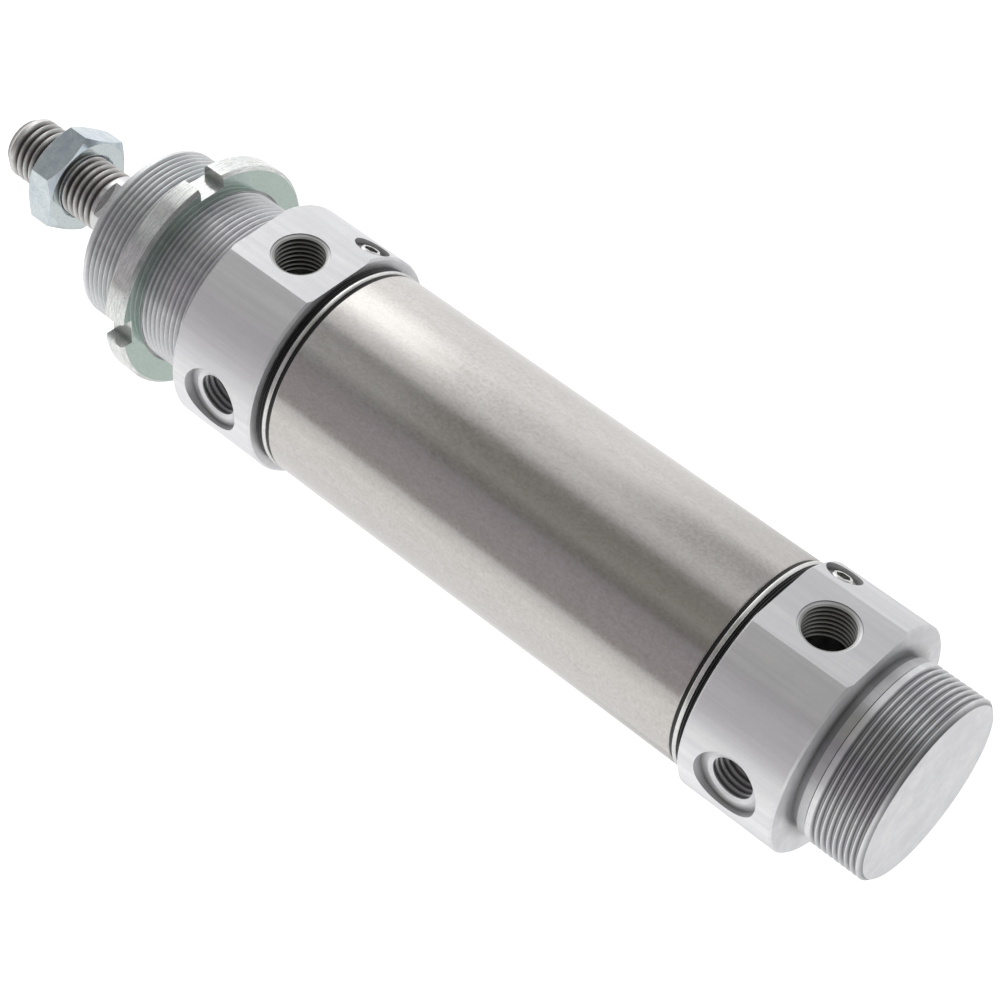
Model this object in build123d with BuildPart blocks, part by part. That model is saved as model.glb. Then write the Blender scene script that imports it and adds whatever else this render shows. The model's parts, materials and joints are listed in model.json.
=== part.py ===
from build123d import *
import os
from math import cos, radians, sin, sqrt, tan

# Round double-acting pneumatic cylinder, bore 50, with a threaded nose at the front, a threaded stub at
# the rear, air ports on top, threaded side holes, adjustable end cushioning and a threaded piston rod.
#
# Frame, in millimetres: X is the cylinder's axis, and +X is the way the rod extends. The origin is where
# the axis meets the front head's mounting shoulder. +Z is the side with the air ports.

os.makedirs("parts", exist_ok=True)

# Driving dimensions
BORE = 50.0
TUBE_WALL = 1.25
STROKE = 80.0
HEAD_DIAMETER = 57.0
HEAD_LENGTH = 25.0
SPIGOT_LENGTH = 11.0  # how far a head reaches past its inner face
FLAT_HEIGHT = 26.7  # of a head's port flat above the axis

NECK_THREAD = 45.0  # major diameter of the nose and stub threads
NECK_PITCH = 1.5
NOSE_LENGTH = 37.4
STUB_LENGTH = 18.4

ROD_DIAMETER = 16.0
ROD_TIP = 81.4
ROD_THREAD = 15.8
ROD_PITCH = 2.0
WRENCH_FLATS = 13.0  # across the flats behind the rod's thread

PISTON_LENGTH = 20.0
BUMPER_PROUD = 1.2
END_CLEARANCE = 0.5  # between a bumper and its head at the end of the stroke

# Clearances
RUNNING = 0.05  # radial, between sliding or turning parts
FLANK = 0.08  # axial, between thread flanks

# Proportions of a 60 degree metric thread, in pitches
SHARP_HEIGHT = sqrt(3) / 2
THREAD_DEPTH = 5 / 8 * SHARP_HEIGHT
NARROW_FLAT = 1 / 8
WIDE_FLAT = 1 / 4
FLANK_SLOPE = tan(radians(30))

# Places along the axis
CHAMBER = STROKE + PISTON_LENGTH + 2 * (BUMPER_PROUD + END_CLEARANCE)
FRONT_INNER = -HEAD_LENGTH
FRONT_STOP = FRONT_INNER - SPIGOT_LENGTH
REAR_STOP = FRONT_STOP - CHAMBER
REAR_INNER = REAR_STOP - SPIGOT_LENGTH
REAR_FACE = REAR_INNER - HEAD_LENGTH
STUB_END = REAR_FACE - STUB_LENGTH
PISTON_REAR = REAR_STOP + END_CLEARANCE + BUMPER_PROUD
PISTON_FRONT = PISTON_REAR + PISTON_LENGTH

# Radii
bore_r = BORE / 2
tube_r = bore_r + TUBE_WALL
head_r = HEAD_DIAMETER / 2
neck_r = NECK_THREAD / 2
rod_r = ROD_DIAMETER / 2
rod_thread_r = ROD_THREAD / 2
chamber_r = 12.6
sleeve_r = 12.0
bushing_r = 10.0
seal_pocket_r = 12.0
stud_r = 6.0


def turned(points, mode=Mode.ADD):
    """Turn a closed outline of (x, radius) points about the cylinder's axis."""
    with BuildSketch(Plane.XY) as outline:
        with BuildLine():
            Polyline(*points, close=True)
        make_face()
    revolve(outline.sketch, axis=Axis.X, mode=mode)


def shaft_thread(first, pitch, count, crest):
    """Outline of the V grooves of a shaft thread, from the one centred at first towards +X."""
    half_mouth = pitch * (1 - NARROW_FLAT) / 2
    half_root = pitch * WIDE_FLAT / 2
    root = crest - pitch * THREAD_DEPTH
    points = []
    for turn in range(count):
        centre = first + turn * pitch
        points.append((centre - half_mouth, crest))
        points.append((centre - half_root, root))
        points.append((centre + half_root, root))
        points.append((centre + half_mouth, crest))
    return points


def nut_thread(first, pitch, count, crest):
    """Outline of the ridges of a nut, which stand in the grooves of a shaft thread with that crest."""
    inner = crest - pitch * THREAD_DEPTH + 2 * RUNNING
    outer = crest + RUNNING
    half_tip = pitch * WIDE_FLAT / 2 + 2 * RUNNING * FLANK_SLOPE - FLANK
    half_foot = pitch * (1 - NARROW_FLAT) / 2 + RUNNING * FLANK_SLOPE - FLANK
    points = []
    for turn in range(count):
        centre = first + turn * pitch
        points.append((centre - half_foot, outer))
        points.append((centre - half_tip, inner))
        points.append((centre + half_tip, inner))
        points.append((centre + half_foot, outer))
    return points


def ring(name, start, end, inner, outer, rounding=0.0):
    """A ring about the axis, from start to end along X, written as a part of its own."""
    with BuildPart() as piece:
        with BuildSketch(Plane.XY):
            with Locations(((start + end) / 2, (inner + outer) / 2)):
                if rounding:
                    RectangleRounded(end - start, outer - inner, rounding)
                else:
                    Rectangle(end - start, outer - inner)
        revolve(axis=Axis.X)
    finish(piece, name)


def finish(piece, name):
    """Label a finished part and write it."""
    piece.part.label = name
    export_step(piece.part, f"parts/{name}.step")


# Lead-in cone of a threaded hole
LEAD_FLARE = 0.2  # of its mouth past the thread's major radius
LEAD_DEPTH = 0.4
FIRST_TURN = 0.6  # from the cone to the first thread root, in pitches
CUT_ABOVE = 3.0  # how far a hole's space reaches above its mouth


def threaded_hole(mouth_r, mouth_depth, major, pitch, turns, drill_depth, point_depth):
    """The space of a threaded hole whose mouth is at Z = 0 and which goes down along -Z."""
    minor = major / 2 - pitch * THREAD_DEPTH
    half_mouth = pitch * (1 - WIDE_FLAT) / 2
    half_root = pitch * NARROW_FLAT / 2
    lead_end = -mouth_depth - LEAD_DEPTH
    outline = [(0, CUT_ABOVE), (mouth_r, CUT_ABOVE), (mouth_r, -mouth_depth)]
    outline.append((major / 2 + LEAD_FLARE, -mouth_depth))
    outline.append((minor, lead_end))
    for turn in range(turns):
        centre = lead_end - (turn + FIRST_TURN) * pitch
        outline.append((minor, centre + half_mouth))
        outline.append((major / 2, centre + half_root))
        outline.append((major / 2, centre - half_root))
        outline.append((minor, centre - half_mouth))
    outline.append((minor, -drill_depth))
    outline.append((0, -drill_depth - point_depth))
    with BuildPart() as tool:
        with BuildSketch(Plane.XZ):
            with BuildLine():
                Polyline(*outline, close=True)
            make_face()
        revolve(axis=Axis.Z)
    return tool.part


# Air port G1/4, open into the cushion chamber
PORT_MAJOR = 13.157
PORT_PITCH = 1.337
PORT_MOUTH_R = 6.85
PORT_MOUTH_DEPTH = 0.3
PORT_TURNS = 7
PORT_FLOOR = 6.0  # above the axis
port_depth = FLAT_HEIGHT - PORT_FLOOR
port_space = threaded_hole(
    PORT_MOUTH_R, PORT_MOUTH_DEPTH, PORT_MAJOR, PORT_PITCH, PORT_TURNS, port_depth, 0
)

# Side hole M12x1.5, blind, in a counterbore
SIDE_MAJOR = 12.0
SIDE_PITCH = 1.5
SIDE_COUNTERBORE_R = 8.1
SIDE_COUNTERBORE_DEPTH = 2.4
SIDE_TURNS = 4
SIDE_DEPTH = 11.8
SIDE_POINT = 2.4
side_space = threaded_hole(
    SIDE_COUNTERBORE_R, SIDE_COUNTERBORE_DEPTH, SIDE_MAJOR, SIDE_PITCH, SIDE_TURNS, SIDE_DEPTH, SIDE_POINT
)

# Cushion screw: a spot face, the screw's bore and the bleed passage to the chamber
SCREW_ANGLE = -33.0  # about the axis, from +Z towards +Y
SCREW_OFFSET = 5.0  # from the head's inner face
SCREW_R = 2.5
SPOT_R = 4.3
SPOT_FLOOR = 26.2  # above the axis
SPOT_CUT = 5.0  # from its floor outwards
SCREW_SEAT = 16.0
BLEED_R = 1.0
screw_direction = (0, sin(radians(SCREW_ANGLE)), cos(radians(SCREW_ANGLE)))

with BuildPart() as screw_space:
    with BuildSketch(Plane.XY.offset(SPOT_FLOOR)):
        Circle(SPOT_R)
    extrude(amount=SPOT_CUT)
    with BuildSketch(Plane.XY.offset(SCREW_SEAT)):
        Circle(SCREW_R + RUNNING)
    extrude(amount=SPOT_FLOOR - SCREW_SEAT)
    with BuildSketch(Plane.XY.offset(chamber_r / 2)):
        Circle(BLEED_R)
    extrude(amount=SCREW_SEAT - chamber_r / 2)


def cut_head_features(port_x, side_x, screw_x):
    """Cut the port flat, the air port, the two side holes and the cushion screw's bore in a head."""
    with BuildSketch(Plane.XY.offset(FLAT_HEIGHT)) as above_flat:
        with Locations((port_x, 0)):
            Rectangle(2 * HEAD_LENGTH, HEAD_DIAMETER)
    extrude(above_flat.sketch, amount=HEAD_DIAMETER, mode=Mode.SUBTRACT)
    with Locations(Plane(origin=(port_x, 0, FLAT_HEIGHT), x_dir=(1, 0, 0), z_dir=(0, 0, 1))):
        add(port_space, mode=Mode.SUBTRACT)
    for side in (1, -1):
        with Locations(Plane(origin=(side_x, side * head_r, 0), x_dir=(1, 0, 0), z_dir=(0, side, 0))):
            add(side_space, mode=Mode.SUBTRACT)
    with Locations(Plane(origin=(screw_x, 0, 0), x_dir=(1, 0, 0), z_dir=screw_direction)):
        add(screw_space.part, mode=Mode.SUBTRACT)


# Front head: nose with its thread, rod passage, bushing and seal pockets, chamber and spigot
NOSE_FIRST_GROOVE = 1.9
NOSE_GROOVES = 23
NOSE_CHAMFER = 1.0
PASSAGE_R = 8.6
BUSHING_START = 6.0
BUSHING_END = 27.0
ROD_SEAL_END = 32.0
CHAMBER_DEPTH = 30.0
SPIGOT_CHAMFER = 0.8
EDGE = 0.5
PORT_X_FRONT = FRONT_INNER / 2
PORT_X_REAR = REAR_INNER - HEAD_LENGTH / 2
ORING_START = 6.0  # of the tube's O-ring groove, from a head's inner face
ORING_WIDTH = 2.6
ORING_DEPTH = 1.9
CUSHION_GROOVE_START = 1.5  # from the spigot's end
CUSHION_GROOVE_WIDTH = 3.0
CUSHION_GROOVE_R = 15.5

front_oring = FRONT_INNER - ORING_START
front_cushion = FRONT_STOP + CUSHION_GROOVE_START

with BuildPart() as front_head:
    turned(
        [
            (FRONT_STOP, chamber_r),
            (FRONT_STOP, bore_r - SPIGOT_CHAMFER),
            (FRONT_STOP + SPIGOT_CHAMFER, bore_r),
            (front_oring - ORING_WIDTH, bore_r),
            (front_oring - ORING_WIDTH, bore_r - ORING_DEPTH),
            (front_oring, bore_r - ORING_DEPTH),
            (front_oring, bore_r),
            (FRONT_INNER, bore_r),
            (FRONT_INNER, head_r - EDGE),
            (FRONT_INNER + EDGE, head_r),
            (-EDGE, head_r),
            (0, head_r - EDGE),
            (0, neck_r),
            *shaft_thread(NOSE_FIRST_GROOVE, NECK_PITCH, NOSE_GROOVES, neck_r),
            (NOSE_LENGTH - NOSE_CHAMFER, neck_r),
            (NOSE_LENGTH, neck_r - NOSE_CHAMFER),
            (NOSE_LENGTH, seal_pocket_r),
            (BUSHING_END, seal_pocket_r),
            (BUSHING_END, bushing_r),
            (BUSHING_START, bushing_r),
            (BUSHING_START, PASSAGE_R),
            (FRONT_STOP + CHAMBER_DEPTH, PASSAGE_R),
            (FRONT_STOP + CHAMBER_DEPTH, chamber_r),
            (front_cushion + CUSHION_GROOVE_WIDTH, chamber_r),
            (front_cushion + CUSHION_GROOVE_WIDTH, CUSHION_GROOVE_R),
            (front_cushion, CUSHION_GROOVE_R),
            (front_cushion, chamber_r),
        ]
    )
    cut_head_features(PORT_X_FRONT, PORT_X_FRONT, FRONT_INNER + SCREW_OFFSET)
finish(front_head, "front_head")

# Rear head: solid stub with its relief, band, land and thread
RELIEF_R = 21.2
RELIEF_END = 1.8  # from the rear face
BAND_R = 22.1
BAND_END = 3.8
LAND_START = 4.1
LAND_GAP_R = 21.7
STUB_FIRST_GROOVE = STUB_END + 1.85
STUB_GROOVES = 8
STUB_CHAMFER = 1.0

rear_oring = REAR_INNER + ORING_START
rear_cushion = REAR_STOP - CUSHION_GROOVE_START

with BuildPart() as rear_head:
    turned(
        [
            (STUB_END, 0),
            (STUB_END, neck_r - STUB_CHAMFER),
            (STUB_END + STUB_CHAMFER, neck_r),
            *shaft_thread(STUB_FIRST_GROOVE, NECK_PITCH, STUB_GROOVES, neck_r),
            (REAR_FACE - LAND_START, neck_r),
            (REAR_FACE - LAND_START, LAND_GAP_R),
            (REAR_FACE - BAND_END, LAND_GAP_R),
            (REAR_FACE - BAND_END, BAND_R),
            (REAR_FACE - RELIEF_END, BAND_R),
            (REAR_FACE - RELIEF_END, RELIEF_R),
            (REAR_FACE, RELIEF_R),
            (REAR_FACE, head_r - EDGE),
            (REAR_FACE + EDGE, head_r),
            (REAR_INNER - EDGE, head_r),
            (REAR_INNER, head_r - EDGE),
            (REAR_INNER, bore_r),
            (rear_oring, bore_r),
            (rear_oring, bore_r - ORING_DEPTH),
            (rear_oring + ORING_WIDTH, bore_r - ORING_DEPTH),
            (rear_oring + ORING_WIDTH, bore_r),
            (REAR_STOP - SPIGOT_CHAMFER, bore_r),
            (REAR_STOP, bore_r - SPIGOT_CHAMFER),
            (REAR_STOP, chamber_r),
            (rear_cushion, chamber_r),
            (rear_cushion, CUSHION_GROOVE_R),
            (rear_cushion - CUSHION_GROOVE_WIDTH, CUSHION_GROOVE_R),
            (rear_cushion - CUSHION_GROOVE_WIDTH, chamber_r),
            (REAR_STOP - CHAMBER_DEPTH, chamber_r),
            (REAR_STOP - CHAMBER_DEPTH, 0),
        ]
    )
    cut_head_features(PORT_X_REAR, PORT_X_REAR, REAR_INNER - SCREW_OFFSET)
finish(rear_head, "rear_head")

# Barrel tube with rounded ends, and the rings between each end and its head
GAP_RING = 1.9
LOCK_RING_END = 3.05
TUBE_START = 3.9  # from a head's inner face
TUBE_LIP = 0.5
GAP_RING_SUNK = 0.15  # below the tube's outside
LOCK_RING_PROUD = 0.15
BACKING_RING_R = 25.7
RING_ROUNDING = 0.4
ORING_ROUNDING = 0.8
SEAL_ROUNDING = 0.6
CUSHION_SEAL_R = 12.15

with BuildPart() as barrel_tube:
    with BuildSketch(Plane.XY):
        with Locations(((FRONT_INNER + REAR_INNER) / 2, (bore_r + tube_r) / 2)):
            Rectangle(FRONT_INNER - REAR_INNER - 2 * TUBE_START, TUBE_WALL)
    revolve(axis=Axis.X)
    fillet(barrel_tube.edges().filter_by(GeomType.CIRCLE).group_by(SortBy.RADIUS)[-1], TUBE_LIP)
finish(barrel_tube, "barrel_tube")

for end, inner_face, away in (("front", FRONT_INNER, -1), ("rear", REAR_INNER, 1)):
    gap_end = inner_face + away * GAP_RING
    lock_end = inner_face + away * LOCK_RING_END
    tube_end = inner_face + away * TUBE_START
    oring_start = inner_face + away * ORING_START
    oring_end = oring_start + away * ORING_WIDTH
    gap_ends = sorted((inner_face, gap_end))
    lock_ends = sorted((gap_end, lock_end))
    backing_ends = sorted((lock_end, tube_end))
    oring_ends = sorted((oring_start, oring_end))
    ring(f"{end}_gap_ring", *gap_ends, bore_r, tube_r - GAP_RING_SUNK, RING_ROUNDING)
    ring(f"{end}_lock_ring", *lock_ends, bore_r, tube_r + LOCK_RING_PROUD, RING_ROUNDING)
    ring(f"{end}_backing_ring", *backing_ends, bore_r, BACKING_RING_R)
    ring(f"{end}_tube_oring", *oring_ends, bore_r - ORING_DEPTH, bore_r, ORING_ROUNDING)

for end, groove, away in (("front", front_cushion, 1), ("rear", rear_cushion, -1)):
    seal_ends = sorted((groove, groove + away * CUSHION_GROOVE_WIDTH))
    ring(f"{end}_cushion_seal", *seal_ends, CUSHION_SEAL_R, CUSHION_GROOVE_R, RING_ROUNDING)
ring("rod_bushing", BUSHING_START, BUSHING_END, rod_r + RUNNING, bushing_r)
ring("rod_seal", BUSHING_END, ROD_SEAL_END, rod_r + RUNNING, seal_pocket_r, SEAL_ROUNDING)

# Rod wiper: a cased ring at the nose's mouth with a lip that leans on the rod
WIPER_INSET = 0.3  # of its case in the nose
WIPER_LIP = 1.0
WIPER_LIP_R = 8.9
WIPER_CASE_R = 10.0
with BuildPart() as rod_wiper:
    turned(
        [
            (ROD_SEAL_END, rod_r + RUNNING),
            (ROD_SEAL_END, seal_pocket_r),
            (NOSE_LENGTH - WIPER_INSET, seal_pocket_r),
            (NOSE_LENGTH - WIPER_INSET, WIPER_CASE_R),
            (NOSE_LENGTH + WIPER_LIP, WIPER_LIP_R),
            (NOSE_LENGTH + WIPER_LIP, rod_r + RUNNING),
        ]
    )
finish(rod_wiper, "rod_wiper")

# Cushion screws with their retaining bushes
BUSH_R = 3.5
BUSH_HEIGHT = 0.9
SCREW_TOP = 27.9  # above the axis
HEX_SOCKET = 3.0
HEX_DEPTH = 2.2
SCREW_EDGE = 0.35
NEEDLE_LENGTH = 2.0
SEAT_CLEARANCE = 0.6

for end, screw_x in (("front", FRONT_INNER + SCREW_OFFSET), ("rear", REAR_INNER - SCREW_OFFSET)):
    axis_plane = Plane(origin=(screw_x, 0, 0), x_dir=(1, 0, 0), z_dir=screw_direction)
    with BuildPart() as screw_bush:
        with BuildSketch(axis_plane.offset(SPOT_FLOOR)):
            Circle(BUSH_R)
            Circle(SCREW_R + RUNNING, mode=Mode.SUBTRACT)
        extrude(amount=BUSH_HEIGHT)
    finish(screw_bush, f"{end}_screw_bush")

    with BuildPart() as cushion_screw:
        with BuildSketch(axis_plane.offset(SCREW_SEAT + SEAT_CLEARANCE)):
            Circle(BLEED_R / 2)
        with BuildSketch(axis_plane.offset(SCREW_SEAT + SEAT_CLEARANCE + NEEDLE_LENGTH)):
            Circle(SCREW_R - SCREW_EDGE)
        loft()
        with BuildSketch(axis_plane.offset(SCREW_SEAT + SEAT_CLEARANCE + NEEDLE_LENGTH)):
            Circle(SCREW_R)
        extrude(amount=SCREW_TOP - SCREW_SEAT - SEAT_CLEARANCE - NEEDLE_LENGTH)
        top_rim = cushion_screw.edges().filter_by(GeomType.CIRCLE).group_by(SortBy.DISTANCE)[-1]
        chamfer(top_rim, SCREW_EDGE)
        with BuildSketch(axis_plane.offset(SCREW_TOP - HEX_DEPTH)):
            RegularPolygon(HEX_SOCKET / sqrt(3), 6)
        extrude(amount=HEX_DEPTH, mode=Mode.SUBTRACT)
    finish(cushion_screw, f"{end}_cushion_screw")

# Piston rod: stud through the piston, smooth rod, wrench flats and thread
ROD_FIRST_GROOVE = 51.2
ROD_GROOVES = 14
ROD_LAND_END = 79.2
ROD_TIP_R = 6.4
STUD_END = PISTON_REAR - 21.0
STUD_CHAMFER = 1.0
FLATS_END = 49.1
STEP_START = 50.0  # of the step from the rod down to its thread
STEP_END = 50.2
FLATS_LENGTH = 11.0
FLATS_ANGLE = 35.0  # about the axis, from +Z towards +Y

with BuildPart() as piston_rod:
    turned(
        [
            (STUD_END, 0),
            (STUD_END, stud_r - STUD_CHAMFER),
            (STUD_END + STUD_CHAMFER, stud_r),
            (PISTON_FRONT, stud_r),
            (PISTON_FRONT, rod_r),
            (STEP_START, rod_r),
            (STEP_END, rod_thread_r),
            *shaft_thread(ROD_FIRST_GROOVE, ROD_PITCH, ROD_GROOVES, rod_thread_r),
            (ROD_LAND_END, rod_thread_r),
            (ROD_TIP, ROD_TIP_R),
            (ROD_TIP, 0),
        ]
    )
    flats_plane = Plane(
        origin=(FLATS_END - FLATS_LENGTH, 0, 0),
        x_dir=(0, cos(radians(FLATS_ANGLE)), -sin(radians(FLATS_ANGLE))),
        z_dir=(1, 0, 0),
    )
    with BuildSketch(flats_plane):
        with Locations((0, WRENCH_FLATS / 2 + rod_r), (0, -WRENCH_FLATS / 2 - rod_r)):
            Rectangle(4 * rod_r, 2 * rod_r)
    extrude(amount=FLATS_LENGTH, mode=Mode.SUBTRACT)
finish(piston_rod, "piston_rod")

# Piston: clamped on the rod's stud, with a magnet under the guide band and a seal at each side
PISTON_R = 24.6
SEAL_INSET = 2.2
SEAL_WIDTH = 3.0
SEAL_GROOVE_R = 21.0
BAND_WIDTH = 7.0
MAGNET_GROOVE_R = 19.0
BAND_INNER_R = 22.8
BUMPER_INNER_R = 13.5
BUMPER_OUTER_R = 19.5
BUMPER_GROOVE = 0.8
STUD_ORING_WIDTH = 2.0
STUD_ORING_R = 7.6

seal_rear = PISTON_REAR + SEAL_INSET
seal_front = PISTON_FRONT - SEAL_INSET
band_rear = PISTON_REAR + (PISTON_LENGTH - BAND_WIDTH) / 2
band_front = band_rear + BAND_WIDTH
stud_oring = PISTON_REAR + PISTON_LENGTH / 2 - STUD_ORING_WIDTH / 2

with BuildPart() as piston:
    turned(
        [
            (PISTON_REAR, stud_r),
            (PISTON_REAR, BUMPER_INNER_R),
            (PISTON_REAR + BUMPER_GROOVE, BUMPER_INNER_R),
            (PISTON_REAR + BUMPER_GROOVE, BUMPER_OUTER_R),
            (PISTON_REAR, BUMPER_OUTER_R),
            (PISTON_REAR, PISTON_R - EDGE),
            (PISTON_REAR + EDGE, PISTON_R),
            (seal_rear, PISTON_R),
            (seal_rear, SEAL_GROOVE_R),
            (seal_rear + SEAL_WIDTH, SEAL_GROOVE_R),
            (seal_rear + SEAL_WIDTH, PISTON_R),
            (band_rear, PISTON_R),
            (band_rear, MAGNET_GROOVE_R),
            (band_front, MAGNET_GROOVE_R),
            (band_front, PISTON_R),
            (seal_front - SEAL_WIDTH, PISTON_R),
            (seal_front - SEAL_WIDTH, SEAL_GROOVE_R),
            (seal_front, SEAL_GROOVE_R),
            (seal_front, PISTON_R),
            (PISTON_FRONT - EDGE, PISTON_R),
            (PISTON_FRONT, PISTON_R - EDGE),
            (PISTON_FRONT, BUMPER_OUTER_R),
            (PISTON_FRONT - BUMPER_GROOVE, BUMPER_OUTER_R),
            (PISTON_FRONT - BUMPER_GROOVE, BUMPER_INNER_R),
            (PISTON_FRONT, BUMPER_INNER_R),
            (PISTON_FRONT, stud_r),
            (stud_oring + STUD_ORING_WIDTH, stud_r),
            (stud_oring + STUD_ORING_WIDTH, STUD_ORING_R),
            (stud_oring, STUD_ORING_R),
            (stud_oring, stud_r),
        ]
    )
finish(piston, "piston")

SEAL_PLAY = 0.15
PISTON_SEAL_ROUNDING = 0.7
BUMPER_ROUNDING = 0.5
ring("magnet_ring", band_rear, band_front, MAGNET_GROOVE_R, BAND_INNER_R - SEAL_PLAY)
ring("guide_band", band_rear + SEAL_PLAY, band_front - SEAL_PLAY, BAND_INNER_R, bore_r - RUNNING)
ring("stud_oring", stud_oring, stud_oring + STUD_ORING_WIDTH, stud_r, STUD_ORING_R, SEAL_ROUNDING)
seal_inner_r = SEAL_GROOVE_R + SEAL_PLAY
seal_outer_r = bore_r - RUNNING
for end, face, groove, away in (
    ("rear", PISTON_REAR, seal_rear, 1),
    ("front", PISTON_FRONT, seal_front, -1),
):
    seal_ends = sorted((groove + away * SEAL_PLAY, groove + away * (SEAL_WIDTH - SEAL_PLAY)))
    ring(f"{end}_piston_seal", *seal_ends, seal_inner_r, seal_outer_r, PISTON_SEAL_ROUNDING)
    bumper_ends = sorted((face - away * BUMPER_PROUD, face + away * BUMPER_GROOVE))
    ring(f"{end}_bumper", *bumper_ends, BUMPER_INNER_R, BUMPER_OUTER_R, BUMPER_ROUNDING)

# Cushion sleeves on both sides of the piston, with a tapered lead
REAR_SLEEVE_LENGTH = 14.0
FRONT_SLEEVE_LENGTH = 16.0
SLEEVE_TAPER = 2.0
SLEEVE_TAPER_DEPTH = 0.8
for end, foot, tip, inner in (
    ("rear", PISTON_REAR, PISTON_REAR - REAR_SLEEVE_LENGTH, stud_r),
    ("front", PISTON_FRONT, PISTON_FRONT + FRONT_SLEEVE_LENGTH, rod_r),
):
    taper_start = tip + SLEEVE_TAPER if tip < foot else tip - SLEEVE_TAPER
    with BuildPart() as sleeve:
        turned(
            [
                (foot, inner),
                (foot, sleeve_r),
                (taper_start, sleeve_r),
                (tip, sleeve_r - SLEEVE_TAPER_DEPTH),
                (tip, inner),
            ]
        )
    finish(sleeve, f"{end}_cushion_sleeve")


def hexagon_nut(name, start, height, across_flats, chamfer_start_r, bore_outline, angle):
    """A hexagon nut from start along +X with both faces chamfered, and with the given bore outline."""
    corner_r = across_flats / sqrt(3)
    rise = (corner_r - chamfer_start_r) * tan(radians(30))
    nut_plane = Plane(
        origin=(start, 0, 0),
        x_dir=(0, sin(radians(angle)), cos(radians(angle))),
        z_dir=(1, 0, 0),
    )
    with BuildPart() as nut:
        with BuildSketch(nut_plane):
            RegularPolygon(corner_r, 6)
        extrude(amount=height)
        turned(
            [
                (start, 0),
                (start, chamfer_start_r),
                (start + rise, corner_r),
                (start + height - rise, corner_r),
                (start + height, chamfer_start_r),
                (start + height, 0),
            ],
            mode=Mode.INTERSECT,
        )
        turned(bore_outline, mode=Mode.SUBTRACT)
    finish(nut, name)


# Nut that clamps the rear sleeve and the piston on the rod's stud
PISTON_NUT_HEIGHT = 6.0
PISTON_NUT_FLATS = 18.0
PISTON_NUT_CHAMFER_R = 8.8
piston_nut_start = PISTON_REAR - REAR_SLEEVE_LENGTH - PISTON_NUT_HEIGHT
hexagon_nut(
    "piston_nut",
    piston_nut_start,
    PISTON_NUT_HEIGHT,
    PISTON_NUT_FLATS,
    PISTON_NUT_CHAMFER_R,
    [
        (piston_nut_start, 0),
        (piston_nut_start, stud_r),
        (piston_nut_start + PISTON_NUT_HEIGHT, stud_r),
        (piston_nut_start + PISTON_NUT_HEIGHT, 0),
    ],
    0,
)

# Thin hexagon nut on the rod's thread
ROD_NUT_START = 59.6
ROD_NUT_HEIGHT = 8.0
ROD_NUT_FLATS = 24.0
ROD_NUT_CHAMFER_R = 11.6
ROD_NUT_ANGLE = -5.5  # of a corner about the axis, from +Z towards +Y
ROD_NUT_RIDGES = 3
ROD_NUT_TURN = 5  # of the rod's thread, where the nut's first ridge stands
NUT_LEAD = 0.7  # chamfer at the mouth of a nut's thread
rod_nut_end = ROD_NUT_START + ROD_NUT_HEIGHT
rod_nut_first = ROD_FIRST_GROOVE + ROD_NUT_TURN * ROD_PITCH
hexagon_nut(
    "rod_nut",
    ROD_NUT_START,
    ROD_NUT_HEIGHT,
    ROD_NUT_FLATS,
    ROD_NUT_CHAMFER_R,
    [
        (ROD_NUT_START, 0),
        (ROD_NUT_START, rod_thread_r + NUT_LEAD),
        (ROD_NUT_START + NUT_LEAD, rod_thread_r + RUNNING),
        *nut_thread(rod_nut_first, ROD_PITCH, ROD_NUT_RIDGES, rod_thread_r),
        (rod_nut_end - NUT_LEAD, rod_thread_r + RUNNING),
        (rod_nut_end, rod_thread_r + NUT_LEAD),
        (rod_nut_end, 0),
    ],
    ROD_NUT_ANGLE,
)

# Slotted ring nut on the nose
RING_NUT_START = 15.9
RING_NUT_HEIGHT = 6.2
RING_NUT_R = 29.3
RING_NUT_CHAMFER = 0.8
RING_NUT_RIDGES = 4
RING_NUT_TURN = 10  # of the nose's thread, where the nut's first ridge stands
SLOT_COUNT = 4
SLOT_WIDTH = 7.0
SLOT_DEPTH = 3.3
ring_nut_end = RING_NUT_START + RING_NUT_HEIGHT
ring_nut_first = NOSE_FIRST_GROOVE + RING_NUT_TURN * NECK_PITCH

with BuildPart() as ring_nut:
    turned(
        [
            (RING_NUT_START, neck_r + NUT_LEAD),
            (RING_NUT_START, RING_NUT_R - RING_NUT_CHAMFER),
            (RING_NUT_START + RING_NUT_CHAMFER, RING_NUT_R),
            (ring_nut_end - RING_NUT_CHAMFER, RING_NUT_R),
            (ring_nut_end, RING_NUT_R - RING_NUT_CHAMFER),
            (ring_nut_end, neck_r + NUT_LEAD),
            (ring_nut_end - NUT_LEAD / 2, neck_r + RUNNING),
            *reversed(nut_thread(ring_nut_first, NECK_PITCH, RING_NUT_RIDGES, neck_r)),
            (RING_NUT_START + NUT_LEAD / 2, neck_r + RUNNING),
        ]
    )
    with BuildSketch(Plane.YZ.offset(RING_NUT_START)):
        with PolarLocations(RING_NUT_R, SLOT_COUNT):
            Rectangle(2 * SLOT_DEPTH, SLOT_WIDTH)
    extrude(amount=RING_NUT_HEIGHT, mode=Mode.SUBTRACT)
finish(ring_nut, "ring_nut")
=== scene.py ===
import bpy
import json
import math
from mathutils import Matrix, Vector


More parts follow.
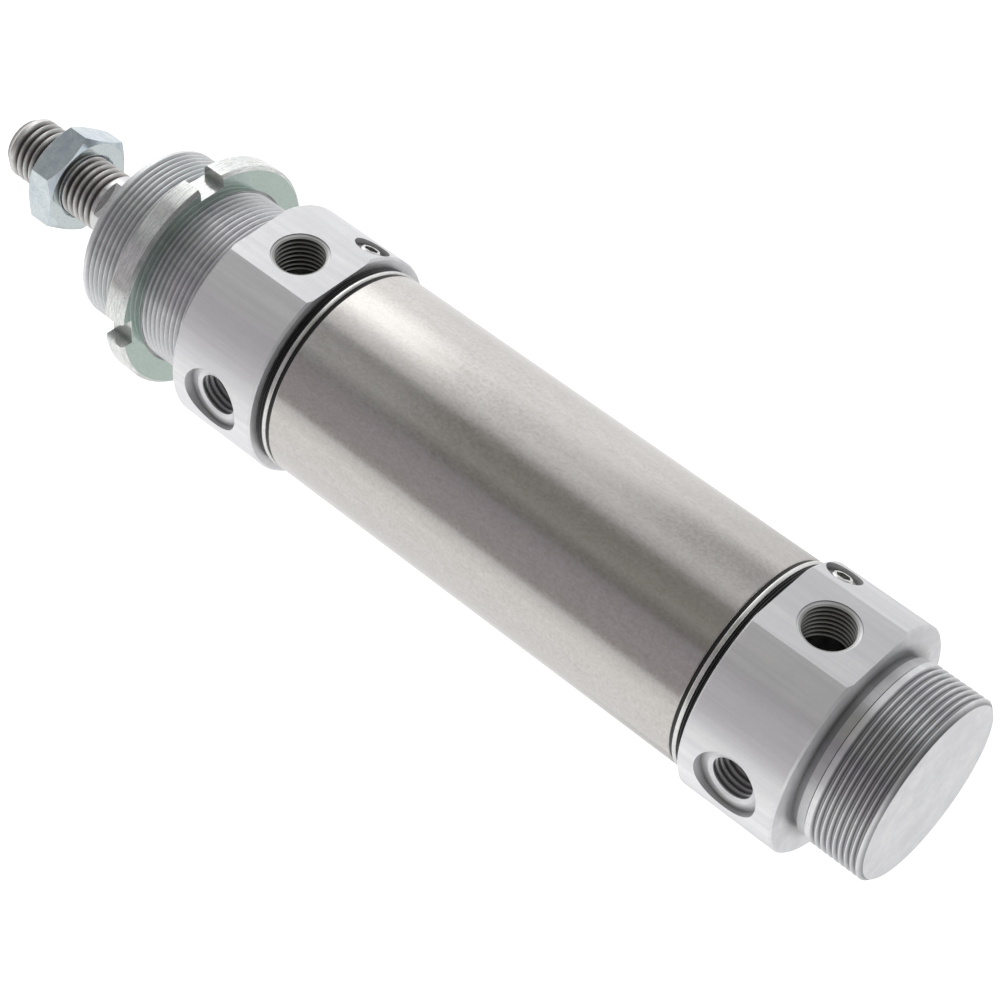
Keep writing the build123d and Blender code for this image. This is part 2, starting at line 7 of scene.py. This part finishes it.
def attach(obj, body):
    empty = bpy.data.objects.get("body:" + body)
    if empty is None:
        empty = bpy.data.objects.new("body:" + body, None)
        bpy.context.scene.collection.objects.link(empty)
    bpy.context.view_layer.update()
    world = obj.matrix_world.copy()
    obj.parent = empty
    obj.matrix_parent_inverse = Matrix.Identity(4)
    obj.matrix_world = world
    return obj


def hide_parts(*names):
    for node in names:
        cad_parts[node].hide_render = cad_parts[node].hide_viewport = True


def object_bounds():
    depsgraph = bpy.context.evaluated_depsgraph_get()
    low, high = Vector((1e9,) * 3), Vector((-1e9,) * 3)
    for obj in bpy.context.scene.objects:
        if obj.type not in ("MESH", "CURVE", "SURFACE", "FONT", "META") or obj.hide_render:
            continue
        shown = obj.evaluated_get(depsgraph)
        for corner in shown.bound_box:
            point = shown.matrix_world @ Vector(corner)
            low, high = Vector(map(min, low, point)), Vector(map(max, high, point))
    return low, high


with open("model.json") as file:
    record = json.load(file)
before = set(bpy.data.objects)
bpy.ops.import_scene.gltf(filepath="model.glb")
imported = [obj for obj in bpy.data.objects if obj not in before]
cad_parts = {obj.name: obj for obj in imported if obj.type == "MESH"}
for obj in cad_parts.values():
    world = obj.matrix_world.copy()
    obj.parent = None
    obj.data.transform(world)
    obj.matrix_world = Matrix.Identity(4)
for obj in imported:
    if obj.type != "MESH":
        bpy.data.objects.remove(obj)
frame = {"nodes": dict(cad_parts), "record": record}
cad_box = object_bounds()
nodes = frame["nodes"]
scene = bpy.context.scene

MM = 0.001


# ---------------------------------------------------------------- node helpers
class Shader:
    """One node material, with short calls for the nodes that the finishes below are made of."""

    def __init__(self, name):
        self.material = bpy.data.materials.new(name)
        self.material.use_nodes = True
        self.tree = self.material.node_tree
        self.surface = self.tree.nodes["Principled BSDF"]
        self.place = self.node("ShaderNodeTexCoord").outputs["Object"]

    def node(self, kind, **settings):
        made = self.tree.nodes.new(kind)
        for key, value in settings.items():
            setattr(made, key, value)
        return made

    def feed(self, socket, value):
        """Link a socket to another node's output, or set its own value."""
        if isinstance(value, bpy.types.NodeSocket):
            self.tree.links.new(value, socket)
        else:
            socket.default_value = value

    def math(self, operation, a, b=0.0, clamp=False):
        made = self.node("ShaderNodeMath", operation=operation, use_clamp=clamp)
        self.feed(made.inputs[0], a)
        self.feed(made.inputs[1], b)
        return made.outputs[0]

    def axes(self):
        """The x, y and z of a point, in metres."""
        return self.node_outputs("ShaderNodeSeparateXYZ", self.place)

    def node_outputs(self, kind, value):
        made = self.node(kind)
        self.feed(made.inputs[0], value)
        return made.outputs

    def radius(self):
        """Distance from the cylinder's axis, in metres."""
        x, y, z = self.axes()
        return self.math("SQRT", self.math("ADD", self.math("MULTIPLY", y, y), self.math("MULTIPLY", z, z)))

    def stretched(self, scale):
        """Object coordinates times a scale for each axis."""
        made = self.node("ShaderNodeMapping")
        self.feed(made.inputs["Vector"], self.place)
        made.inputs["Scale"].default_value = scale
        return made.outputs[0]

    def around(self, across, along):
        """Coordinates of (x, angle about the axis, radius), for grain that runs round the cylinder."""
        x, y, z = self.axes()
        angle = self.math("ARCTAN2", y, z)
        made = self.node("ShaderNodeCombineXYZ")
        self.feed(made.inputs[0], self.math("MULTIPLY", x, across))
        self.feed(made.inputs[1], self.math("MULTIPLY", angle, along))
        self.feed(made.inputs[2], self.math("MULTIPLY", self.radius(), across))
        return made.outputs[0]

    def noise(self, vector, detail=4.0, roughness=0.5):
        made = self.node("ShaderNodeTexNoise")
        self.feed(made.inputs["Vector"], vector)
        made.inputs["Scale"].default_value = 1.0
        made.inputs["Detail"].default_value = detail
        made.inputs["Roughness"].default_value = roughness
        return made.outputs["Fac"]

    def span(self, value, low, high, to_low=0.0, to_high=1.0):
        """value from low..high, mapped to to_low..to_high and held there."""
        made = self.node("ShaderNodeMapRange")
        self.feed(made.inputs["Value"], value)
        made.inputs["From Min"].default_value = low
        made.inputs["From Max"].default_value = high
        made.inputs["To Min"].default_value = to_low
        made.inputs["To Max"].default_value = to_high
        return made.outputs[0]

    def mix(self, factor, a, b):
        made = self.node("ShaderNodeMix", data_type="RGBA")
        self.feed(made.inputs[0], factor)
        self.feed(made.inputs[6], a if isinstance(a, bpy.types.NodeSocket) else (*a, 1))
        self.feed(made.inputs[7], b if isinstance(b, bpy.types.NodeSocket) else (*b, 1))
        return made.outputs[2]

    def bump(self, height, strength, distance, base=None):
        """A normal from a height, on top of a base normal where there is one."""
        made = self.node("ShaderNodeBump")
        self.feed(made.inputs["Height"], height)
        made.inputs["Strength"].default_value = strength
        made.inputs["Distance"].default_value = distance
        if base is not None:
            self.feed(made.inputs["Normal"], base)
        return made.outputs[0]

    def rounded(self, radius):
        """A normal that rounds sharp edges off to a radius."""
        made = self.node("ShaderNodeBevel", samples=4)
        made.inputs["Radius"].default_value = radius
        return made.outputs[0]

    def edge_mask(self, radius):
        """1 on edges, 0 on open faces."""
        geometry = self.node("ShaderNodeNewGeometry").outputs["Normal"]
        made = self.node("ShaderNodeVectorMath", operation="DOT_PRODUCT")
        self.feed(made.inputs[0], geometry)
        self.feed(made.inputs[1], self.rounded(radius))
        return self.span(made.outputs["Value"], 0.92, 0.72)

    def painted_shade_depth(self, reach):
        """1 deep in a hollow or a hole, 0 on open faces, looking as far as reach; the mask for shade painted
        into hollows.
        """
        made = self.node("ShaderNodeAmbientOcclusion", samples=6, only_local=True)
        made.inputs["Distance"].default_value = reach
        return self.span(made.outputs["AO"], 0.95, 0.25)

    def finish(self, colour, roughness, normal=None, metallic=1.0):
        self.feed(self.surface.inputs["Base Color"], colour)
        self.feed(self.surface.inputs["Roughness"], roughness)
        self.feed(self.surface.inputs["Metallic"], metallic)
        if normal is not None:
            self.feed(self.surface.inputs["Normal"], normal)
        return self.material


# ---------------------------------------------------------------- finishes
def barrel_finish():
    """Satin stainless: sand-fine mottling over faint streaks along the tube."""
    s = Shader("barrel_stainless")
    sand = s.noise(s.stretched((1100, 1500, 1500)), detail=4, roughness=0.6)
    mottle = s.noise(s.stretched((300, 520, 520)), detail=4, roughness=0.6)
    streak = s.noise(s.stretched((14, 420, 420)), detail=3, roughness=0.6)
    cloud = s.noise(s.stretched((16, 40, 40)), detail=3)
    colour = s.mix(s.span(sand, 0.3, 0.7), (0.52, 0.495, 0.47), (0.69, 0.67, 0.65))
    colour = s.mix(s.span(streak, 0.35, 0.65, 0.0, 0.4), colour, (0.54, 0.515, 0.49))
    colour = s.mix(s.span(mottle, 0.4, 0.7, 0.0, 0.35), colour, (0.70, 0.68, 0.665))
    colour = s.mix(s.span(cloud, 0.35, 0.65, 0.0, 0.25), colour, (0.62, 0.60, 0.59))
    rough = s.math("ADD", s.span(sand, 0.3, 0.7, 0.115, 0.165), s.span(mottle, 0.3, 0.7, 0.0, 0.03))
    normal = s.bump(sand, 0.05, 0.00002)
    normal = s.bump(streak, 0.05, 0.00003, normal)
    return s.finish(colour, rough, normal)


# Places on the heads, in millimetres
FRONT_HOLES = -12.5  # where the ports and side holes are along X
REAR_HOLES = -162.9
PORT_THREAD_R = 6.75
SIDE_THREAD_R = 5.1
HOLE_MOUTH = 26.2  # from the axis
CHAMBER_R = 12.7
NOSE = (0.05, 37.35)
STUB = (-193.75, -175.45)
NECK_ROOT_R = 21.0  # under the nose and stub threads


def tapped(s, along, across, deep, centre, hole_r):
    """1 inside a tapped hole of a head, below its mouth, and 0 elsewhere."""
    offset = s.math("SUBTRACT", along, centre * MM)
    square = s.math("ADD", s.math("MULTIPLY", offset, offset), s.math("MULTIPLY", across, across))
    inside = s.math("LESS_THAN", square, (hole_r * MM) ** 2)
    below = s.math("LESS_THAN", s.math("ABSOLUTE", deep), HOLE_MOUTH * MM)
    outside = s.math("GREATER_THAN", s.radius(), CHAMBER_R * MM)
    return s.math("MULTIPLY", inside, s.math("MULTIPLY", below, outside))


def between(s, value, low, high):
    """1 where a value is between low and high millimetres, and 0 elsewhere."""
    above = s.math("GREATER_THAN", value, low * MM)
    return s.math("MULTIPLY", above, s.math("LESS_THAN", value, high * MM))


def head_finish():
    """Turned aluminium: lathe lines round the axis, milled flats; thread roots, tapped holes and hollows
    darkened as painted shade.
    """
    s = Shader("head_aluminium")
    lathe = s.noise(s.around(2300, 1.2), detail=2)
    fine = s.noise(s.stretched((1300, 1300, 1300)), detail=4)
    streak = s.noise(s.stretched((24, 620, 620)), detail=3, roughness=0.6)
    band = s.noise(s.stretched((9, 150, 150)), detail=3, roughness=0.55)
    cloud = s.noise(s.stretched((110, 110, 110)), detail=4)
    colour = s.mix(s.span(cloud, 0.3, 0.7), (0.89, 0.895, 0.91), (0.94, 0.94, 0.95))
    colour = s.mix(s.span(fine, 0.35, 0.7, 0.0, 0.2), colour, (0.74, 0.74, 0.76))
    colour = s.mix(s.span(streak, 0.4, 0.7, 0.0, 0.5), colour, (0.73, 0.735, 0.765))
    colour = s.mix(s.span(band, 0.38, 0.62, 0.0, 0.45), colour, (0.70, 0.70, 0.73))
    radius = s.radius()
    x, y, z = s.axes()
    nose = between(s, x, *NOSE)
    stub = between(s, x, *STUB)
    thread = s.math("MULTIPLY", s.math("ADD", nose, stub), s.math("GREATER_THAN", radius, NECK_ROOT_R * MM))
    # Painted shade: thread roots darkened towards near black, more on the stub than on the nose.
    root = s.math("MULTIPLY", s.span(radius, 22.4 * MM, 21.75 * MM), thread)
    thread_root_shade = s.math("MULTIPLY", root, s.math("ADD", 0.28, s.math("MULTIPLY", stub, 0.38)))
    colour = s.mix(thread_root_shade, colour, (0.12, 0.12, 0.125))
    hole = 0.0
    for centre in (FRONT_HOLES, REAR_HOLES):
        hole = s.math("ADD", hole, tapped(s, x, y, z, centre, PORT_THREAD_R), clamp=True)
        hole = s.math("ADD", hole, tapped(s, x, z, y, centre, SIDE_THREAD_R), clamp=True)
    # Painted shade inside the tapped ports and side holes.
    colour = s.mix(s.math("MULTIPLY", hole, 0.8), colour, (0.36, 0.365, 0.34))
    # Painted shade in hollows: darkened towards near black, weaker on the threads.
    shade = s.math("SUBTRACT", 0.85, s.math("MULTIPLY", thread, 0.7))
    colour = s.mix(s.math("MULTIPLY", s.painted_shade_depth(0.0035), shade), colour, (0.10, 0.10, 0.10))
    rough = s.math("ADD", s.span(lathe, 0.3, 0.7, 0.285, 0.33), s.span(fine, 0.3, 0.7, 0.0, 0.04))
    normal = s.bump(lathe, 0.05, 0.00003)
    normal = s.bump(fine, 0.03, 0.00002, normal)
    bare = s.math("MULTIPLY", s.math("MAXIMUM", thread, hole), 0.36)
    return s.finish(colour, rough, normal, metallic=s.math("ADD", 0.55, bare))


def steel_finish(name, low, high, rough_low, rough_high):
    """Turned steel, brass or aluminium: fine lathe lines and specks, with edges lightened as painted
    highlight and edge wear.
    """
    s = Shader(name)
    grain = s.noise(s.around(4000, 2.0), detail=3)
    speck = s.noise(s.stretched((900, 900, 900)), detail=5)
    colour = s.mix(s.span(speck, 0.35, 0.65), low, high)
    # Painted highlight with edge wear: edges lightened towards near white.
    edge_highlight = s.edge_mask(0.0002)
    colour = s.mix(s.math("MULTIPLY", edge_highlight, 0.4), colour, (0.9, 0.9, 0.9))
    rough = s.span(grain, 0.3, 0.7, rough_low, rough_high)
    normal = s.bump(grain, 0.12, 0.00004, s.rounded(0.00012))
    return s.finish(colour, rough, normal)


def rubber_finish():
    """Black rubber with a fine grain and a little dust."""
    s = Shader("seal_rubber")
    grain = s.noise(s.stretched((1500, 1500, 1500)), detail=4)
    dust = s.noise(s.stretched((200, 200, 200)), detail=4)
    colour = s.mix(s.span(dust, 0.5, 0.8, 0.0, 0.5), (0.012, 0.012, 0.013), (0.04, 0.04, 0.04))
    rough = s.span(grain, 0.3, 0.7, 0.26, 0.42)
    return s.finish(colour, rough, s.bump(grain, 0.15, 0.00004), metallic=0.0)


def plastic_finish(name, low, high, rough):
    """Moulded plastic between two shades."""
    s = Shader(name)
    grain = s.noise(s.stretched((900, 900, 900)), detail=5)
    colour = s.mix(s.span(grain, 0.3, 0.7), low, high)
    normal = s.bump(grain, 0.15, 0.00005)
    return s.finish(colour, s.span(grain, 0.3, 0.7, rough, rough + 0.12), normal, metallic=0.0)


def zinc_finish(name, tint, second, pale, end_face_light_shade, scratched, metallic):
    """Passivated zinc: bright metal under a thin film whose tint changes in soft patches; the end faces get
    painted light and shade, the edges a painted highlight with wear, and hollows painted shade.
    """
    s = Shader(name)
    patch = s.noise(s.stretched((90, 90, 90)), detail=4, roughness=0.6)
    blotch = s.noise(s.stretched((420, 420, 420)), detail=5, roughness=0.6)
    scratch = s.noise(s.around(2600, 9.0), detail=3, roughness=0.6)
    pits = s.noise(s.stretched((1800, 1800, 1800)), detail=3)
    true_normal = s.node("ShaderNodeNewGeometry").outputs["True Normal"]
    normal_x = s.node_outputs("ShaderNodeSeparateXYZ", true_normal)[0]
    face = s.math("GREATER_THAN", s.math("ABSOLUTE", normal_x), 0.9)
    rim = s.math("SUBTRACT", 1.0, face)
    colour = s.mix(s.span(patch, 0.38, 0.62), tint, second)
    colour = s.mix(s.span(blotch, 0.40, 0.68, 0.0, 0.7), colour, pale)
    # Painted light and shade: faces that look along the axis take their own colour.
    colour = s.mix(s.math("MULTIPLY", face, 0.85), colour, end_face_light_shade)
    marks = s.span(scratch, 0.42, 0.66, 0.0, scratched)
    marks = s.math("MULTIPLY", marks, s.math("ADD", 0.25, rim, clamp=True))
    colour = s.mix(marks, colour, (0.46, 0.48, 0.48))
    colour = s.mix(s.span(pits, 0.55, 0.72, 0.0, 0.35), colour, (0.38, 0.40, 0.39))
    # Painted highlight with edge wear: edges lightened towards pale blue-white.
    edge_highlight = s.edge_mask(0.0003)
    colour = s.mix(s.math("MULTIPLY", edge_highlight, 0.6), colour, (0.94, 0.96, 0.96))
    rough = s.math("ADD", s.span(blotch, 0.3, 0.7, 0.07, 0.12), s.math("MULTIPLY", rim, 0.06))
    normal = s.bump(scratch, 0.06, 0.00003, s.rounded(0.0002))
    normal = s.bump(blotch, 0.08, 0.00004, normal)
    # Painted shade in slots and hollows: darkened towards green-black.
    colour = s.mix(s.math("MULTIPLY", s.painted_shade_depth(0.004), 0.85), colour, (0.09, 0.13, 0.115))
    return s.finish(colour, rough, normal, metallic=metallic)


def rod_finish():
    """Hard chrome on the smooth rod; on its thread, rougher steel, bright on the crests and darkened towards
    the roots as painted shade.
    """
    s = Shader("rod_chrome")
    x, y, z = s.axes()
    radius = s.radius()
    threaded = s.math("GREATER_THAN", x, 50.1 * MM)
    # Painted shade: the thread darkened towards its roots.
    rod_root_shade = s.span(radius, 7.8 * MM, 7.0 * MM)
    stain = s.noise(s.stretched((420, 420, 420)), detail=5, roughness=0.6)
    crest = s.mix(s.span(stain, 0.35, 0.7), (0.62, 0.61, 0.60), (0.86, 0.85, 0.84))
    steel = s.mix(rod_root_shade, crest, (0.19, 0.175, 0.17))
    polish = s.noise(s.around(2500, 2.0), detail=2)
    chrome = s.mix(s.span(polish, 0.3, 0.7), (0.66, 0.66, 0.67), (0.75, 0.75, 0.76))
    colour = s.mix(threaded, chrome, steel)
    smooth = s.span(polish, 0.3, 0.7, 0.08, 0.13)
    coarse = s.span(stain, 0.3, 0.7, 0.285, 0.38)
    pick = s.node("ShaderNodeMix", data_type="FLOAT")
    s.feed(pick.inputs[0], threaded)
    s.feed(pick.inputs[2], smooth)
    s.feed(pick.inputs[3], coarse)
    normal = s.bump(stain, 0.12, 0.00005, s.rounded(0.00012))
    return s.finish(colour, pick.outputs[0], normal)


finishes = {
    "head_aluminium": head_finish(),
    "barrel_steel": barrel_finish(),
    "ring_steel": steel_finish("ring_steel", (0.74, 0.74, 0.73), (0.84, 0.84, 0.83), 0.16, 0.26),
    "seal_rubber": rubber_finish(),
    "bearing_bronze": steel_finish("bearing_bronze", (0.45, 0.30, 0.15), (0.62, 0.43, 0.22), 0.35, 0.5),
    "screw_steel": steel_finish("screw_steel", (0.66, 0.66, 0.65), (0.80, 0.80, 0.79), 0.18, 0.26),
    "guide_plastic": plastic_finish("guide_plastic", (0.70, 0.68, 0.60), (0.82, 0.80, 0.74), 0.4),
    "rod_chrome": rod_finish(),
    "piston_aluminium": steel_finish("piston_aluminium", (0.72, 0.72, 0.73), (0.82, 0.82, 0.83), 0.25, 0.38),
    "magnet_plastic": plastic_finish("magnet_plastic", (0.03, 0.03, 0.03), (0.07, 0.07, 0.07), 0.5),
    "sleeve_brass": steel_finish("sleeve_brass", (0.78, 0.62, 0.30), (0.88, 0.74, 0.42), 0.18, 0.26),
    "nut_zinc": zinc_finish(
        "nut_zinc", tint=(0.54, 0.63, 0.70), second=(0.66, 0.73, 0.75), pale=(0.78, 0.84, 0.86),
        end_face_light_shade=(0.72, 0.79, 0.79), scratched=0.2, metallic=1.0,
    ),
    "ring_nut_zinc": zinc_finish(
        "ring_nut_zinc", tint=(0.80, 0.82, 0.81), second=(0.88, 0.89, 0.86), pale=(0.97, 0.98, 0.98),
        end_face_light_shade=(0.50, 0.62, 0.56), scratched=0.5, metallic=0.9,
    ),
}
slots = {entry["node"]: entry["material_slot"] for entry in frame["record"]["subparts"]}
for name, slot in slots.items():
    mesh = nodes[name].data
    mesh.materials.clear()
    mesh.materials.append(finishes[slot])


# ---------------------------------------------------------------- smooth turned pieces
TURNS = 360
SHARP_EDGE = 40  # degrees


def arc(centre_x, centre_r, radius, start, end, steps=7):
    """Points (x, radius) of an arc, with angles in degrees from +X towards +radius."""
    points = []
    for step in range(steps):
        angle = math.radians(start + (end - start) * step / (steps - 1))
        points.append((centre_x + radius * math.cos(angle), centre_r + radius * math.sin(angle)))
    return points


def lathe(node, outline):
    """A piece turned from a closed outline of (x, radius) in millimetres, in the place of a CAD node."""
    vertices = []
    for turn in range(TURNS):
        angle = math.tau * turn / TURNS
        for along, radius in outline:
            vertices.append((along * MM, radius * MM * math.sin(angle), radius * MM * math.cos(angle)))
    count = len(outline)
    faces = []
    for turn in range(TURNS):
        here = turn * count
        there = (turn + 1) % TURNS * count
        for point in range(count):
            after = (point + 1) % count
            faces.append((here + point, here + after, there + after, there + point))
    mesh = bpy.data.meshes.new(node + "_turned")
    mesh.from_pydata(vertices, [], faces)
    mesh.shade_smooth()
    mesh.set_sharp_from_angle(angle=math.radians(SHARP_EDGE))
    mesh.materials.append(nodes[node].data.materials[0])
    piece = bpy.data.objects.new(node + "_turned", mesh)
    scene.collection.objects.link(piece)
    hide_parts(node)
    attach(piece, "barrel")


# Outlines of the tube and of the rings at its ends, in millimetres
BORE_R = 25.0
TUBE_R = 26.25
TUBE_FRONT = -28.9
TUBE_REAR = -146.5
LIP = 0.5  # rounding of the tube's ends
RING_R = 26.4
RING_ROUND = 0.38
GAP_R = 26.1
BEADS = 3
BEAD_DEPTH = 0.3
BEAD_STEPS = 8
BACKING_R = 25.7
HEAD_FACES = (("front", -25.0, -1), ("rear", -150.4, 1))  # the end, its inner face and the way to the tube
GAP_END = 1.9  # from a head's inner face
RING_END = 3.05
BACKING_END = 3.9
lathe("barrel_tube", [
    (TUBE_FRONT, BORE_R),
    *arc(TUBE_FRONT - LIP, TUBE_R - LIP, LIP, 0, 90),
    *arc(TUBE_REAR + LIP, TUBE_R - LIP, LIP, 90, 180),
    (TUBE_REAR, BORE_R),
])
for end, inner_face, way in HEAD_FACES:
    gap_end = inner_face + way * GAP_END
    ring_end = inner_face + way * RING_END
    low, high = sorted((gap_end, ring_end))
    lathe(end + "_lock_ring", [
        (high, BORE_R),
        *arc(high - RING_ROUND, RING_R - RING_ROUND, RING_ROUND, 0, 90),
        *arc(low + RING_ROUND, RING_R - RING_ROUND, RING_ROUND, 90, 180),
        (low, BORE_R),
    ])
    low, high = sorted((inner_face, gap_end))
    beads = []
    for step in range(BEAD_STEPS * BEADS + 1):
        share = step / (BEAD_STEPS * BEADS)
        dip = BEAD_DEPTH * (1 - abs(math.sin(share * BEADS * math.pi)))
        beads.append((high + (low - high) * share, GAP_R - dip))
    lathe(end + "_gap_ring", [(high, BORE_R), *beads, (low, BORE_R)])
    low, high = sorted((ring_end, inner_face + way * BACKING_END))
    lathe(end + "_backing_ring", [(high, BORE_R), (high, BACKING_R), (low, BACKING_R), (low, BORE_R)])


# ---------------------------------------------------------------- floor, light and camera
FLOOR_HALF = 3.0
FLOOR_GLOW = 0.9
floor_height = cad_box[0][2]
floor_mesh = bpy.data.meshes.new("floor")
corners = []
for side_x, side_y in ((-1, -1), (1, -1), (1, 1), (-1, 1)):
    corners.append((side_x * FLOOR_HALF, side_y * FLOOR_HALF, floor_height))
floor_mesh.from_pydata(corners, [], [(0, 1, 2, 3)])
floor = bpy.data.objects.new("floor", floor_mesh)
scene.collection.objects.link(floor)
floor.visible_glossy = False
floor_shader = Shader("floor_pale")
weave = floor_shader.noise(floor_shader.stretched((900, 900, 900)), detail=3)
pale = floor_shader.mix(floor_shader.span(weave, 0.3, 0.7), (0.90, 0.90, 0.90), (0.93, 0.93, 0.93))
floor_shader.finish(pale, 0.8, metallic=0.0)
floor_shader.surface.inputs["Emission Color"].default_value = (1, 1, 1, 1)
floor_shader.surface.inputs["Emission Strength"].default_value = FLOOR_GLOW
floor_mesh.materials.append(floor_shader.material)

# The light tent: soft walls whose brightness runs over the angle about the cylinder's axis, in degrees from
# +Z towards +Y. They are bright above, behind and below, and open and darker in front. Four walls follow
# each other along X and blend where they meet.
world = bpy.data.worlds.new("studio")
scene.world = world
world.use_nodes = True
tree = world.node_tree
background = tree.nodes["Background"]
direction = tree.nodes.new("ShaderNodeTexCoord").outputs["Generated"]
split = tree.nodes.new("ShaderNodeSeparateXYZ")
tree.links.new(direction, split.inputs[0])
turn = tree.nodes.new("ShaderNodeMath")
turn.operation = "ARCTAN2"
tree.links.new(split.outputs[1], turn.inputs[0])
tree.links.new(split.outputs[2], turn.inputs[1])


def mapped(socket, low, high):
    """A value from low..high, mapped to 0..1 and held there."""
    made = tree.nodes.new("ShaderNodeMapRange")
    made.inputs["From Min"].default_value = low
    made.inputs["From Max"].default_value = high
    tree.links.new(socket, made.inputs["Value"])
    return made.outputs[0]


def tent_wall(stops):
    """Brightness round the axis, from stops of (angle, level or colour)."""
    made = tree.nodes.new("ShaderNodeValToRGB")
    made.color_ramp.interpolation = "LINEAR"
    while len(made.color_ramp.elements) < len(stops):
        made.color_ramp.elements.new(0.5)
    for element, (angle, level) in zip(made.color_ramp.elements, stops):
        element.position = (angle + 180) / 360
        element.color = (*level, 1) if isinstance(level, tuple) else (level, level, level, 1)
    tree.links.new(mapped(turn.outputs[0], -math.pi, math.pi), made.inputs[0])
    return made.outputs[0]


def blended(factor, first, second):
    made = tree.nodes.new("ShaderNodeMix")
    made.data_type = "RGBA"
    tree.links.new(factor, made.inputs[0])
    tree.links.new(first, made.inputs[6])
    tree.links.new(second, made.inputs[7])
    return made.outputs[2]


OPEN_SIDE = [
    (7, (0.27, 0.265, 0.25)), (22, (0.275, 0.27, 0.25)), (34, (0.33, 0.32, 0.30)), (42, (0.24, 0.235, 0.22)),
    (49, (0.22, 0.21, 0.20)), (53, (0.32, 0.30, 0.32)), (72, (0.38, 0.355, 0.375)), (97, (0.40, 0.375, 0.38)),
    (103, 0.78), (120, (0.98, 0.97, 0.95)), (145, 0.98), (180, 0.92),
]
front_wall = tent_wall([
    (-180, 0.92), (-130, 1.0), (-90, 1.06), (-64, 1.2), (-46, 1.7), (-30, 1.7), (-12, 0.95), (0, 0.72),
    (7, 0.36), (22, 0.42), (34, 0.44), (42, 0.34), (49, 0.28), *OPEN_SIDE[5:],
])
middle_wall = tent_wall([
    (-180, 0.90), (-130, 0.94), (-90, 1.0), (-64, 1.04), (-51, 1.04), (-39, 0.87), (-27, 0.76),
    (-15, 0.79), (-3, 0.58), *OPEN_SIDE,
])
rear_wall = tent_wall([
    (-180, 0.70), (-130, 0.70), (-90, 0.84), (-64, 0.86), (-46, 0.50), (-30, 0.48), (-12, 0.66),
    (0, 0.52), *OPEN_SIDE,
])
end_wall = tent_wall([
    (-180, 0.85), (-110, 0.85), (-80, 0.35), (-60, 0.16), (80, 0.16), (100, 0.35), (120, 0.85), (180, 0.85),
])
forwardness = split.outputs[0]
rear_half = blended(mapped(forwardness, 0.285, 0.355), rear_wall, middle_wall)
sides = blended(mapped(forwardness, 0.488, 0.52), rear_half, front_wall)
around = blended(mapped(forwardness, -0.75, -0.45), end_wall, sides)
tree.links.new(around, background.inputs["Color"])
background.inputs["Strength"].default_value = 1.0

# Camera: a long lens above the rear of the cylinder, on the side of the near side holes
CAMERA_PLACE = Vector((-0.32876, 0.32123, 0.45126))
CAMERA_FORWARD = Vector((0.41286, -0.52424, -0.74480))
CAMERA_UP = Vector((0.53439, -0.52277, 0.66419))
LENS = 99.05
forward = CAMERA_FORWARD.normalized()
right = forward.cross(CAMERA_UP).normalized()
up = right.cross(forward)
camera_data = bpy.data.cameras.new("camera")
camera_data.lens = LENS
camera_data.sensor_width = 36.0
camera_data.clip_start = 0.01
camera = bpy.data.objects.new("camera", camera_data)
scene.collection.objects.link(camera)
camera.matrix_world = Matrix((
    (right.x, up.x, -forward.x, CAMERA_PLACE.x),
    (right.y, up.y, -forward.y, CAMERA_PLACE.y),
    (right.z, up.z, -forward.z, CAMERA_PLACE.z),
    (0, 0, 0, 1),
))
scene.camera = camera
scene.view_settings.view_transform = "Standard"
